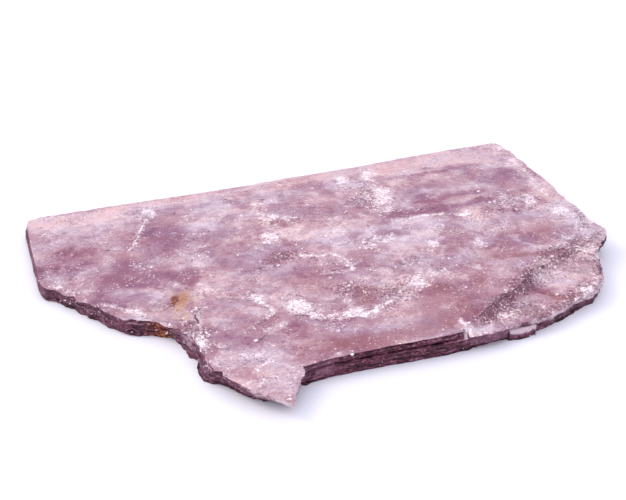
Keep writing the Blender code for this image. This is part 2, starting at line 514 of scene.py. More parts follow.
MARKS: dict[Tint, tuple[Union[Zone, Stroke], ...]] = {
    # torn and frosted sheet
    Tint.FROST: (
        Zone(15.7, -3.0, 1.5, 1.2, -82, 0.7),
        Stroke(0.3, 0.75, ((16.8, -3.2), (15.0, -5.8), (13.8, -8.8), (12.7, -11.5), (12.0, -12.8))),
        Stroke(0.35, 0.5, ((13.7, -9.7), (14.7, -9.7), (15.7, -9.5))),
        Stroke(0.35, 0.4, ((16.9, -7.5), (17.6, -9.3), (18.6, -10.9))),
        Zone(12.5, -17.9, 1.9, 1.3, -30, 0.55), Zone(2.3, -18.8, 0.7, 0.5, -31, 0.7),
        Stroke(0.60, 0.6, ((6.9, -24.5), (8.7, -26.6), (10.1, -28.4), (12.3, -31.5))),
        Zone(10.4, -28.4, 0.9, 0.7, -47, 0.9), Zone(16.1, -23.0, 1.1, 0.8, 85, 0.9),
        Zone(14.3, -23.1, 0.8, 0.5, 85, 0.8), Zone(18.6, -24.7, 1.1, 0.9, -38, 0.6),
        Zone(16.2, -36.3, 1.1, 0.6, 79, 1.0), Zone(30.9, -5.6, 1.1, 1.0, -77, 0.8),
        Zone(33.3, -5.7, 1.0, 1.0, -58, 0.8),
        Stroke(0.60, 0.7, ((30.7, -9.3), (32.5, -10.9), (34.8, -11.7))),
        Zone(30.0, -15.6, 1.8, 1.4, -30, 1.2), Zone(44.3, -2.5, 1.6, 0.8, 71, 1.2),
        Zone(49.1, -2.4, 2.2, 1.1, 69, 1.2), Zone(48.0, -9.3, 2.9, 1.6, 68, 1.6),
        Zone(47.0, -14.1, 1.4, 1.3, 60, 0.7), Zone(38.9, -17.2, 1.3, 0.8, 71, 0.75),
        Zone(41.9, -20.7, 2.1, 1.8, 67, 0.7),
        Stroke(0.40, 0.9, ((32.1, -21.9), (34.0, -22.6), (36.7, -23.3))),
        Stroke(0.60, 0.7, ((36.4, -23.2), (36.9, -25.3), (37.2, -27.0))),
        Stroke(0.40, 0.6, ((33.2, -27.1), (35.4, -27.6), (37.1, -27.2))),
        Zone(24.3, -29.5, 1.2, 1.1, -32, 0.75),
        Stroke(0.47, 0.9, ((24.4, -29.5), (24.9, -32.0), (24.5, -34.2))),
        Zone(28.4, -33.5, 1.5, 1.3, 79, 1.8),
        Stroke(0.8, 0.7, ((29.4, -35.5), (30.5, -36.8), (31.8, -36.8), (32.7, -37.2))),
        Zone(34.6, -37.0, 1.7, 1.1, -20, 1.5),
        Stroke(0.33, 0.45, ((36.3, -37.4), (38.5, -35.6), (40.6, -34.3), (42.8, -33.1))),
        Zone(34.2, -33.4, 1.2, 0.7, 70, 0.8), Zone(25.6, -36.5, 1.4, 0.8, 74, 0.6),
        Zone(44.6, -21.8, 1.8, 0.9, 10, 0.7), Zone(14.9, -35.6, 1.0, 1.4, 0, 0.7),
        Stroke(0.29, 0.45, ((16.5, -38.0), (19.4, -39.9), (21.9, -41.6))),
        Stroke(0.32, 0.8, ((20.1, -46.2), (20.4, -43.7), (21.5, -42.2))),
        Zone(20.3, -41.2, 1.0, 0.9, -85, 0.5),
        Stroke(0.27, 0.8, ((46.4, -17.6), (49.6, -17.0), (52.3, -17.0), (56.3, -18.5))),
        Zone(49.6, -24.8, 1.7, 1.0, 63, 0.9), Zone(56.9, -18.6, 1.1, 0.9, 54, 0.9),
        Zone(63.3, -16.2, 1.5, 1.3, 43, 0.65), Zone(67.0, -18.0, 1.8, 1.5, 39, 0.8),
        Zone(69.3, -22.4, 1.5, 1.3, 24, 1.2), Zone(71.3, -0.4, 1.8, 1.6, 16, 0.8),
        Stroke(0.27, 0.8, ((57.5, -23.9), (58.6, -24.0), (60.4, -23.5))),
        Zone(54.6, -26.9, 1.1, 0.8, 55, 1), Zone(43.6, -33.0, 1.2, 1.1, 55, 1.3),
        Stroke(0.60, 0.5, ((45.0, -31.9), (48.6, -31.4), (52.4, -31.8))),
        Stroke(0.24, 0.5, ((34.4, -36.4), (35.2, -37.6), (37.2, -36.3), (39.6, -35.1))),
        Zone(50.7, -41.7, 1.2, 0.9, 52, 0.6), Zone(62.2, -40.3, 0.9, 0.6, 30, 1.0),
        Zone(60.6, -41.6, 0.6, 0.5, 30, 0.9),
        Stroke(0.3, 0.7, ((62.5, -41.0), (64.3, -39.2), (65.5, -37.5))),
        Zone(46.6, -43.8, 1.7, 0.8, -11, 0.6), Zone(58.8, -37.2, 1.0, 0.6, -20, 0.6),
        Stroke(0.3, 0.9, ((52.7, -44.2), (55.0, -43.7), (56.3, -42.9))),
        Stroke(0.25, 0.9, ((44.9, -42.4), (45.1, -43.3), (45.0, -44.4))),
        Stroke(0.2, 0.8, ((45.0, -44.6), (47.2, -44.75), (49.5, -44.5))),
        Stroke(0.40, 0.6, ((71.4, -4.7), (70.7, -11.3), (70.2, -17.5))),
        Stroke(0.35, 0.8, ((27.2, -44.7), (28.8, -44.1), (30.2, -43.8))),
    ),
    # clear, darker sheet
    Tint.VIOLET: (
        Zone(17.2, -10.0, 4.2, 2.8, 89, 0.95), Zone(12.5, -16.5, 5.0, 3.0, 70, 0.7),
        Zone(5.5, -14.0, 3.5, 2.5, -70, 0.4), Zone(16.9, -13.5, 2.8, 1.1, 80, 0.6),
        Zone(10.5, -16.3, 2.8, 1.1, 83, 1),
        Stroke(0.60, 1.1, ((8.0, -18.8), (10.3, -20.4), (11.8, -21.9), (14.1, -23.1))),
        Zone(17.8, -22.7, 1.9, 0.9, 80, 1.5), Stroke(0.47, 0.7, ((8.7, -18.8), (7.2, -21.2), (5.7, -23.6))),
        Zone(4.3, -14.8, 3.5, 2.3, -85, 0.2), Zone(14.0, -20.5, 4.2, 2.2, -20, 0.75),
        Zone(9.5, -20.8, 3.2, 1.6, -40, 0.5), Zone(30.9, -25.5, 3.0, 1.9, -22, 0.45),
        Zone(41.1, -11.9, 3.5, 2.2, 71, 0.4), Zone(38.3, -26.1, 3.0, 1.8, 40, 0.6),
        Zone(27.1, -34.8, 1.8, 1.6, 0, 0.6), Zone(64.3, -32.6, 2.0, 1.2, 20, 0.5),
        Zone(6.5, -23.6, 3.2, 1.2, -40, 0.5), Stroke(0.53, 1, ((54.3, -5.5), (59.4, -4.8), (66.0, -4.7))),
        Zone(66.7, -10.2, 3.0, 1.7, 59, 1), Zone(56.4, -9.5, 4.0, 2.6, -18, 0.5),
        Stroke(0.60, 1.1, ((52.2, -13.1), (56.5, -13.0), (62.0, -12.7))),
        Stroke(0.67, 1.1, ((47.3, -15.5), (53.9, -16.0), (62.0, -15.8))),
        Stroke(1.1, 0.6, (
            (57.4, -35.6), (55.3, -37.4), (53.0, -38.7), (50.5, -39.8), (48.4, -41.0), (46.4, -42.4),
        )),
    ),
    # milky sheet
    Tint.PALE: (
        Zone(8.3, -8.8, 2.1, 1.6, -44, 0.9), Zone(19.7, -19.4, 1.5, 1.3, -59, 1),
        Zone(14.4, -16.7, 2.3, 1.6, -30, 0.35), Zone(9.5, -22.6, 1.5, 1.1, -33, 0.7),
        Zone(23.3, -9.0, 3.2, 2.4, 87, 0.7),
        Stroke(0.33, 1.1, ((17.4, -29.8), (16.6, -32.2), (15.8, -35.3))),
        Zone(25.7, -5.3, 2.8, 1.3, 0, 0.8), Zone(37.5, -17.9, 3.4, 3.2, 76, 0.5),
        Zone(19.3, -33.8, 2.3, 1.8, -29, 0.6), Zone(43.8, -22.5, 2.8, 1.5, 10, 0.7),
        Zone(45.2, -18.4, 2.4, 1.2, 5, 0.9), Zone(29.8, -24.0, 3.0, 1.3, 0, 0.8),
        Zone(24.8, -15.2, 2.6, 1.5, -10, 0.7), Zone(54.6, -10.6, 2.8, 1.2, 0, 0.9),
        Zone(64.9, -17.9, 2.8, 1.5, 20, 0.8), Zone(26.3, -40.2, 2.4, 1.3, 0, 0.9),
        Zone(23.3, -32.6, 2.2, 1.2, -20, 0.8), Zone(44.3, -39.1, 2.0, 0.9, 10, 0.7),
        Zone(18.6, -41.6, 2.3, 2.1, -80, 0.7), Zone(22.3, -45.2, 2.5, 1.8, 76, 0.9),
        Zone(50.9, -18.4, 4.0, 1.6, -20, 1.1),
        Stroke(0.60, 0.7, ((60.0, -26.3), (59.7, -28.2), (61.4, -29.7), (64.0, -31.2), (67.9, -28.4))),
        Zone(52.7, -28.4, 3.0, 2.2, -13, 0.5), Zone(45.1, -25.1, 2.7, 2.5, 44, 0.7),
        Zone(71.1, -24.4, 4.2, 2.1, 55, 0.9), Zone(60.8, -37.0, 3.6, 2.6, -35, 1.4),
        Zone(47.0, -43.6, 2.4, 0.9, 0, 1.3), Zone(73.2, -20.3, 7.5, 2.4, 57, 0.6),
        Zone(70.6, -29.6, 2.2, 1.7, 30, 1.3),
        Stroke(1.20, 0.9, ((71.0, -5.4), (70.4, -14.8), (70.3, -22.1), (69.9, -28.8))),
    ),
    # pinkish bands along the back edge and the left end; along the back edge they also carry painted sheen,
    # lighter towards the back
    Tint.BLUSH_AND_SHEEN: (
        Zone(8, -0.6, 14, 1.8, 0, 0.7), Zone(34, -0.4, 20, 2.0, 0, 0.9), Zone(60, -1.2, 16, 2.8, 0, 1.0),
        Zone(2.7, -1.6, 2.6, 1.9, -46, 0.7), Zone(9.4, -2.6, 2.6, 1.8, -34, 0.8),
        Stroke(0.40, 0.6, ((17.4, -44.2), (18.8, -46.1), (20.5, -47.8))),
        Zone(62.5, -1.7, 6.0, 2.6, -20, 0.9),
    ),
    # warm, dull sheet, and painted shadow below the terrace's pale plate
    Tint.ROSE_AND_SHADOW: (
        Zone(36.6, -33.5, 2.5, 1.3, 68, 1.3), Zone(32.7, -12.8, 1.3, 1.1, -32, 0.9),
        Zone(25.2, -34.0, 2.0, 0.8, 74, 0.9), Zone(21.3, -34.5, 1.6, 1.1, -25, 0.6),
        Zone(20.0, -37.7, 5.3, 1.5, -20, 0.35), Zone(32.3, -42.8, 3.5, 2.0, -20, 0.6),
        Zone(31.5, -29.5, 2.7, 2.4, 77, 0.5), Zone(51.6, -26.6, 2.4, 1.4, 20, 0.6),
        Zone(58.2, -27.6, 2.6, 1.6, 20, 0.6), Zone(20.1, -43.6, 2.4, 1.4, -30, 0.5),
        Zone(26.4, -40.6, 1.1, 1.1, -32, 0.8), Zone(64.0, -26.6, 3.1, 2.4, 46, 0.7),
        Stroke(0.67, 1, ((55.6, -30.9), (59.4, -31.7), (63.7, -32.2))),
        Zone(45.4, -35.1, 1.5, 1.3, -10, 1.2), Zone(51.0, -34.7, 1.7, 1.1, 59, 0.9),
        Zone(47.1, -39.7, 2.8, 2.0, -13, 0.5),
        # painted shadow: the dark line below the terrace's pale plate
        Stroke(0.5, 1.1, ((56.6, -38.4), (57.6, -39.8), (59.0, -40.5), (60.4, -40.9))),
        Zone(43.5, -38.6, 8.0, 3.0, 14, 0.6), Zone(55.5, -30.4, 5.0, 2.0, 0, 0.5),
        Stroke(1.5, 0.7, ((29.5, -42.0), (36.0, -42.6), (44.0, -42.6))),
    ),
    # greyish patches
    Tint.SMOKE: (
        Zone(14.5, -35.0, 2.2, 2.6, 0, 0.9), Zone(22.3, -49.2, 1.0, 0.7, 75, 1.3),
        Zone(53.6, -42.1, 2.8, 2.3, -1, 0.7), Zone(64.0, -35.8, 2.6, 1.9, 45, 0.6),
        Zone(70.6, -29.8, 2.2, 1.6, 30, 0.6),
    ),
    # yellow stains
    Tint.OCHRE: (
        Zone(15.9, -26.7, 1.9, 1.1, 81, 0.85), Zone(14.4, -28.9, 4.2, 3.0, -40, 0.4),
        Zone(25.2, -15.7, 1.2, 0.9, -27, 0.55),
    ),
    # the rusty spot on the left
    Tint.RUST: (
        Zone(14.8, -27.0, 1.1, 0.45, 50, 1.6),
    ),
    # the crack above the spur, and the shade below the terrace
    Tint.CRACK_AND_SHADE: (
        Stroke(0.11, 1.3, ((17.4, -29.8), (16.7, -31.2), (16.4, -32.6), (15.9, -34.3), (15.6, -35.8))),
        Stroke(0.5, 0.3, ((57.0, -36.2), (54.9, -37.8), (52.4, -38.9), (50.0, -40.2), (47.9, -41.4))),
        Stroke(0.5, 0.5, ((56.6, -42.5), (57.6, -42.4), (58.9, -42.0))),
    ),
    # steps that have crumbled into slopes
    Tint.CRUMBLE: (
        Stroke(0.8, 0.8, ((15.4, -37.2), (16.2, -39.6), (17.8, -41.8))),
        Stroke(0.85, 1.2, (
            (66.2, -32.5), (63.9, -32.3), (60.5, -34.2), (57.7, -35.1), (55.6, -36.9), (53.3, -38.4),
            (50.5, -39.4), (48.2, -41.0), (46.4, -42.3), (44.8, -43.2),
        )),
        Stroke(0.6, 0.9, ((59.6, -40.5), (61.2, -41.4), (63.2, -40.5), (65.7, -37.9))),
        Stroke(0.5, 0.9, ((58.4, -33.8), (56.8, -36.6), (56.7, -38.2))),
        Stroke(0.6, 0.9, ((56.7, -38.6), (58.0, -39.8), (59.6, -40.5))),
        Stroke(0.6, 0.9, (
            (63.1, -31.8), (65.7, -30.6), (68.4, -28.5), (69.5, -26.7), (70.8, -24.6), (72.0, -22.0),
        )),
        Zone(14.3, -36.0, 3.1, 2.4, -89, 1),
        Stroke(1.1, 1.1, (
            (-0.3, -15.6), (0.9, -16.6), (2.4, -18.3), (3.9, -20.9), (5.8, -24.4), (7.3, -27.0),
            (8.8, -28.7),
        )),
        Zone(71.0, -25.0, 1.3, 1.3, 0, 1.2), Zone(67.4, -33.8, 1.2, 1.0, 0, 1.2),
        Stroke(1.2, 1.2, ((64.5, -33.2), (66.6, -33.0), (68.2, -32.2))),
        Stroke(0.9, 1.3, ((34.0, 0.6), (30.6, -1.3), (24.0, -1.6), (14.0, -1.4), (6.0, -1.0), (3.0, 0.6))),
    ),
    # salt and pepper, where thin sheets are torn: bright and dark grains, with painted glints and painted
    # shade
    Tint.GRIT: (
        Stroke(1.1, 1.0, (
            (62.9, -31.4), (59.5, -33.9), (57.4, -35.4), (55.1, -37.2), (53.0, -38.8), (50.8, -40.0),
            (48.3, -42.0),
        )),
        Zone(30.0, -21.4, 2.6, 1.3, 0, 0.9), Zone(35.5, -31.6, 2.2, 1.6, 0, 0.9),
        Zone(40.0, -34.2, 3.4, 1.6, 12, 0.9), Zone(44.0, -28.2, 2.6, 1.2, 20, 0.6),
        Zone(46.0, -8.6, 3.2, 2.4, 60, 0.8), Zone(31.0, -11.5, 2.0, 1.4, 0, 0.6),
        Zone(16.2, -29.0, 2.0, 2.0, 0, 0.2), Zone(60.8, -36.0, 3.4, 2.2, -35, 0.2),
        Zone(66.0, -31.5, 3.0, 1.5, 25, 0.9), Zone(64.0, -18.0, 4.0, 2.0, 30, 0.5),
        Zone(14.5, -35.0, 2.0, 2.4, 0, 0.9), Zone(53.5, -41.3, 2.6, 1.0, 10, 0.6),
        Stroke(0.9, 1.1, (
            (54.2, -43.4), (57.0, -42.6), (60.0, -41.6), (63.0, -40.6), (65.6, -38.0), (68.0, -34.6),
        )),
        Stroke(0.7, 0.8, ((72.0, -21.5), (70.8, -25.0), (70.8, -29.0), (69.0, -32.0))),
    ),
    # the wall where it is lighter: paler rock, painted light on the walls that face the lamp, and painted
    # glints
    Tint.PALE_AND_LIT_WALL: (
        # painted light on the left front wall, which faces the lamp, and the paler rock of the bulge
        Zone(5.0, -24.0, 7.0, 4.0, -50, 0.35), Zone(14.4, -35.0, 2.0, 2.8, 0, 1.15),
        Zone(18.0, -45.0, 3.0, 2.0, -45, 0.6), Zone(22.4, -49.4, 1.8, 2.0, 0, 1.2),
        # painted light on the left side, which faces the lamp, and a painted glint on the front wall
        Zone(-0.2, -10.0, 1.2, 12.0, 0, 0.8), Zone(27.4, -44.5, 1.3, 0.6, 0, 0.8),
        Stroke(1.1, 1.1, ((45.5, -43.9), (47.0, -44.2), (48.3, -44.2))),
        Stroke(1.0, 1.7, ((50.8, -44.6), (53.0, -44.2), (55.6, -43.8))),
        Stroke(1.1, 0.8, ((14.6, -38.6), (15.2, -40.4))), Stroke(1.1, 0.9, ((19.4, -46.8), (22.4, -49.6))),
        Stroke(1.2, 1.3, ((56.8, -43.3), (58.7, -42.7), (61.5, -41.4), (63.7, -40.2), (66.2, -37.8))),
        Stroke(0.7, 0.8, ((24.6, -44.9), (24.4, -46.6), (23.6, -48.4))),
    ),
    # the wall where it is stained
    Tint.STAINED_WALL: (
        Zone(12.2, -31.0, 1.6, 0.9, -35, 0.75),
    ),
}


def mark_amount(tint: Tint, plan: np.ndarray) -> np.ndarray:
    """Return how strong a tint's marks are at plan places (mm), one row each."""
    return sum(mark.amount(plan[:, 0], plan[:, 1]) for mark in MARKS[tint])


# --------------------------------------------------------------------------------------------------
# Finishes
# --------------------------------------------------------------------------------------------------


@dataclass(frozen=True)
class MicaFinish:
    """Pearly lilac mica: milky body colour, frost along the cleavage steps, dark laminated rim."""

    name: str = CRYSTAL_SLOT
    deep: Color = srgb(112, 54, 80)
    violet: Color = srgb(137, 88, 111)
    mauve: Color = srgb(160, 123, 137)
    lilac: Color = srgb(183, 156, 167)
    milk: Color = srgb(208, 184, 190)
    white: Color = srgb(245, 228, 226)
    blush_and_sheen: Color = srgb(201, 168, 173)
    # warm, dull sheet; also the colour of the painted shadow below the terrace
    rose_and_shadow: Color = srgb(140, 92, 102)
    smoke: Color = srgb(138, 118, 122)
    ochre: Color = srgb(142, 84, 34)
    rust: Color = srgb(116, 42, 26)
    rim: Color = srgb(101, 49, 67)
    rim_dark: Color = srgb(32, 6, 18)
    rim_light: Color = srgb(152, 107, 129)
    rim_pale: Color = srgb(198, 176, 180)
    # dark specks: dark grain, and painted shade beside raised bits
    pit: Color = srgb(98, 62, 70)
    gold: Color = srgb(196, 150, 92)
    cool: Color = (0.963, 1.003, 0.975)
    warm: Color = (1.083, 1.005, 0.872)
    roughness: float = 0.42
    frost_roughness: float = 0.6
    rim_roughness: float = 0.55
    gloss: float = 0.32
    rim_gloss: float = 0.2
    glow: float = 0.2
    glow_reach: Color = (1.0, 0.55, 0.8)
    glow_depth: float = 1.0 * MM
    relief: float = 0.5
    relief_depth: float = 0.06 * MM
    sheet_lean: float = -12.0

    def build(self) -> bpy.types.Material:
        """Make the material.

        Returns:
            The finished material.
        """
        g = Graph(self.name)
        grain = g.noise(g.place((2.4, 3.6, 3.0)), 4, 0.7)
        color, frost = self._face(g, grain)
        face = g.surface({
            "Base Color": color,
            "Roughness": self.roughness + frost * (self.frost_roughness - self.roughness),
            "Normal": self._relief(g, frost, grain),
            "IOR": MICA_IOR,
            "Specular IOR Level": self.gloss,
            "Subsurface Weight": self.glow,
            "Subsurface Radius": self.glow_reach,
            "Subsurface Scale": self.glow_depth,
        })
        rim = g.surface({
            "Base Color": self._rim(g),
            "Roughness": self.rim_roughness,
            "IOR": MICA_IOR,
            "Specular IOR Level": self.rim_gloss,
        })
        # the rim's dark shader, which also paints shade on the narrow ledges below walls
        on_rim = (g.attribute("wall") + (grain - 0.5) * 1.3).eased(0.25, 0.75)
        stained = (g.attribute(Tint.RUST.value) + (grain - 0.5) * 2.4).eased(0.3, 0.9)
        # the dark crack, and painted shade below the terrace, both in the rim's dark colour
        crack_and_terrace_shade = (g.attribute(Tint.CRACK_AND_SHADE.value) + (grain - 0.5) * 1.2).eased(0.3, 0.8)
        matt = (on_rim + stained * 0.9 + crack_and_terrace_shade * 0.9).clamped()
        return g.finished(g.node("ShaderNodeMixShader", {}, {0: matt, 1: face, 2: rim}).outputs[0])

    def _face(self, g: Graph, grain: Flow) -> tuple[Flow, Flow]:
        """Colour the cleavage face.

        Args:
            g: The material's nodes.
            grain: Fine noise.

        Returns:
            The colour, and how frosted the face is.
        """
        frosty, torn = g.attribute(Tint.FROST.value), g.attribute(Tint.GRIT.value)
        swirl = g.warped(0.22, 5.0)
        crumple = g.warped(0.9, 1.3, 4.0)
        broad = g.noise(g.pattern(swirl, (0.16, 0.18, 0.3)), 3)
        warmth = g.noise(g.pattern(swirl, (0.14, 0.26, 0.3), self.sheet_lean, (5, 5, 5)), 4, 0.6)
        rough = g.noise(g.pattern(swirl, (0.26, 0.42, 0.4), self.sheet_lean, (8, 3, 2)), 4, 0.6)
        mottle = g.noise(g.pattern(crumple, (0.62, 0.56, 0.8), self.sheet_lean, (3, 1, 0)), 8, 0.7)
        streak = g.noise(g.pattern(crumple, (0.9, 1.5, 2.0), -14, (0, 7, 2)), 6, 0.72)
        lines = g.noise(g.pattern(g.warped(0.3, 1.0), (0.1, 2.2, 1.0), 0, (2, 2, 2)), 4, 0.7)
        plates = self._tone(g, g.pattern(crumple, (0.36, 0.4, 0.5), -4, (0, 2, 5)))
        scales = self._tone(g, g.pattern(g.warped(2.2, 0.7), (1.4, 1.4, 1.5), -14, (4, 2, 5)))
        glitter = g.noise(g.pattern(g.warped(2.2, 0.5), (4.2, 3.2, 4.0), -10, (2, 8, 1)), 3, 0.8)
        grit = (rough + frosty * 0.25 + torn * 0.35).eased(0.46, 0.74)

        ragged = (mottle - 0.5) * 1.1 + (plates - 0.5) * 0.25 + (scales - 0.5) * 0.2
        milkiness = (
            0.49 + (broad - 0.5) * 1.25 + (mottle - 0.5) * (0.85 + grit * 0.7) + (plates - 0.5) * 0.2
            + (streak - 0.5) * (0.55 + grit * 0.6) + (glitter - 0.5) * (0.3 + grit)
            - g.attribute(Tint.VIOLET.value) * 0.34 - g.attribute(Tint.ROSE_AND_SHADOW.value) * 0.28
            + g.attribute(Tint.PALE.value) * 0.2 + g.attribute(Tint.BLUSH_AND_SHEEN.value) * (lines - 0.2) * 0.5
            + frosty * 0.12 - torn * 0.08
        )
        color: Union[Flow, Color] = self.deep
        for tone, low, high in (
            (self.violet, -0.05, 0.22),
            (self.mauve, 0.14, 0.44),
            (self.lilac, 0.42, 0.66),
            (self.milk, 0.62, 0.92),
        ):
            color = g.mix(color, tone, milkiness.eased(low, high))
        for tint, tone, low, share in (
            (Tint.VIOLET, self.violet, 0.15, 0.6),
            (Tint.ROSE_AND_SHADOW, self.rose_and_shadow, 0.15, 0.6),
            (Tint.PALE, self.milk, 0.2, 0.5),
            (Tint.SMOKE, self.smoke, 0.2, 0.55),
        ):
            color = g.mix(color, tone, (g.attribute(tint.value) + ragged).eased(low, 1.0) * share)
        # pinkish bands, and painted sheen that lightens the face along the back edge
        blush_and_sheen_band = g.attribute(Tint.BLUSH_AND_SHEEN.value) + ragged * 1.2 + (lines - 0.5) * 1.6
        color = g.mix(color, self.blush_and_sheen, blush_and_sheen_band.eased(0.1, 1.3) * 0.6)
        warmed = warmth + (g.attribute(Tint.ROSE_AND_SHADOW.value) + torn - g.attribute(Tint.PALE.value)) * 0.12
        color = g.vector("MULTIPLY", color, g.mix(self.cool, self.warm, warmed.eased(0.34, 0.66)))
        # painted sparkle: glints, and the shade of raised bits, strongest where sheets are torn
        sparkle = (glitter - 0.5) * (0.3 + grit * 0.7 + torn * 0.6)
        color = g.shade(color, 1.0 + sparkle + (streak - 0.5) * 0.3)

        specks = g.noise(g.pattern(g.warped(3.0, 0.3), (3.4, 3.2, 3.0), self.sheet_lean, (9, 4, 1)), 3, 0.65)
        # dark specks: dark grain, and painted shade beside raised bits
        pits = (1.0 - specks + grit * 0.07 + torn * 0.1).eased(0.61, 0.69)
        color = g.mix(color, self.pit, pits * 0.75)
        halo = (frosty + ragged).eased(0.25, 1.0)
        core = (
            frosty.clamped() * 0.48 + (mottle - 0.5) * 1.1 + (streak - 0.5) * 0.6
            + (glitter - 0.5) * 1.5 + (scales - 0.5) * 0.2
        )
        frost = core.eased(0.4, 0.66)
        # white flecks: white mica, and painted glints
        flecks_and_glints = (specks + (mottle - 0.5) * 0.35 + frosty * 0.08 + grit * 0.04).eased(0.66, 0.71)
        white = (
            halo * 0.3 + frost * (0.85 + (streak - 0.5) * 1.2) + flecks_and_glints * 0.95
            + g.attribute("edge").eased(0.15, 0.6) * 0.8
        )
        color = g.mix(color, self.white, white.clamped())
        stained = g.attribute(Tint.OCHRE.value)
        tarnish = stained + ragged * 1.4 + (glitter - 0.5) * 2.4 + (streak - 0.5) * 1.5
        color = g.mix(color, self.gold, tarnish.eased(0.1, 1.2) * stained.eased(0.04, 0.3) * 0.65)
        color = g.mix(color, self.ochre, tarnish.eased(0.6, 1.3) * stained.eased(0.1, 0.4) * 0.85)
        return color, (frost + flecks_and_glints).clamped()

    @staticmethod
    def _tone(g: Graph, place: Flow) -> Flow:
        """Return the tone of overlapping sheets: one number for each cell of a pattern."""
        return g.flow(g.node("ShaderNodeSeparateColor", {}, {0: g.cells(place).outputs["Color"]}))

    def _rim(self, g: Graph) -> Flow:
        """Colour the dark, laminated rim.

        Args:
            g: The material's nodes.

        Returns:
            The colour.
        """
        level = g.attribute("level")
        # painted light and paler rock on the upper part of the marked walls
        light = g.attribute(Tint.PALE_AND_LIT_WALL.value) * level.eased(0.1, 0.35)
        along = g.place((0.35, 0.35, 0.0))
        stack = g.vector("ADD", along, g.node("ShaderNodeCombineXYZ", {}, {2: level * 8.0}).outputs[0])
        lamina = g.noise(stack, 4, 0.75)
        chips = g.noise(g.place((2.2, 2.2, 3.5)), 5, 0.75)
        tone = 0.42 + (lamina - 0.5) * 3.6 * (1.0 - light.clamped() * 0.5) + (chips - 0.5) * 3.0
        color = g.mix(self.rim_dark, self.rim, tone.eased(0.05, 0.65))
        color = g.mix(color, self.rim_light, (tone.eased(0.62, 1.15) + light.clamped() * 0.5).clamped())
        color = g.mix(color, self.rim_pale, (tone * 0.7 + light).eased(1.1, 1.75))
        stain = g.attribute(Tint.STAINED_WALL.value) + g.attribute(Tint.RUST.value) + (chips - 0.5) * 2.6
        flaked = chips + (lamina - 0.5) * 0.5
        crust = g.mix(self.rust, self.ochre, flaked.eased(0.5, 0.6))
        crust = g.mix(crust, self.gold, flaked.eased(0.56, 0.68))
        return g.mix(color, crust, stain.eased(0.15, 0.9) * 0.9)

    def _relief(self, g: Graph, frost: Flow, grain: Flow) -> Flow:
        """Raise the face's fine grain.

        Args:
            g: The material's nodes.
            frost: How frosted the face is.
            grain: Fine noise.

        Returns:
            The normal.
        """
        scales = g.flow(g.cells(g.place((1.6, 2.6, 2.0), -self.sheet_lean)), "Distance")
        height = grain * 0.7 + scales * 0.35 + frost * 0.5
        values = {"Strength": self.relief, "Distance": self.relief_depth, "Height": height}
        return g.flow(g.node("ShaderNodeBump", {}, values))


@dataclass(frozen=True)
class FloorFinish:
    """Plain matt white."""

    name: str = "white_floor"
    white: float = 0.83

    def build(self) -> bpy.types.Material:
        """Make the material.

        Returns:
            The finished material.
        """
        g = Graph(self.name)
        color = (self.white, self.white, self.white, 1.0)
        return g.finished(g.surface({"Base Color": color, "Roughness": 1.0, "Specular IOR Level": 0.0}))


# --------------------------------------------------------------------------------------------------
# The slab
# --------------------------------------------------------------------------------------------------


@dataclass
class CleavageRelief:
    """Fine steps and swells of the top face, where sheets have parted.  Sizes are in mm.

    Attributes:
        step_height: The height of one step.
        step_count: How many steps the face's roughness spans.
        swell_depth: How deep the slow swells are.
        pit_depth: How deep the small torn pits are.
        grain: The direction along which the sheets tear.
        riser_from: The share of a step's width at which its riser begins.
        pit_from: The noise above which the face is torn into a pit.
    """

    step_height: float = 0.035
    step_count: int = 6
    swell_depth: float = 0.05
    pit_depth: float = 0.06
    grain: tuple[float, float] = (0.97, 0.24)
    riser_from: float = 0.78
    pit_from: float = 0.45

    def depth(self, x: float, y: float) -> tuple[float, float]:
        """Return how far the face lies below the flat, and how close the place is to a step's riser.

        Args:
            x: Plan place along the back edge, in mm.
            y: Plan place towards the back, in mm.

        Returns:
            The depth in mm, and the riser's strength from 0 to 1.
        """
        run, rise = self.grain
        along, across = run * x + rise * y, run * y - rise * x
        warp = noise_at(along * 0.5, across * 0.6, 4.0) * 0.5
        spot = Vector((along * 0.09 + warp * 0.2, across * 0.2 + warp * 0.3, 9.0))
        rough = noise.fractal(spot, 0.75, 2.1, 6)
        levels = (rough * 0.5 + 0.5) * self.step_count
        whole = math.floor(levels)
        part = levels - whole
        riser = max(0.0, (part - self.riser_from) / 0.22)
        steps = (self.step_count - whole - riser) * self.step_height
        swell = (0.5 + 0.5 * noise_at(x * 0.06, y * 0.09, 1.0)) * self.swell_depth
        torn = noise.fractal(Vector((along * 0.55, across * 0.9, 2.0)), 0.8, 2.2, 4)
        pit = max(0.0, torn - self.pit_from) * self.pit_depth * 2.0
        return max(0.0, steps) + swell + pit, 4.0 * riser * (1.0 - riser)


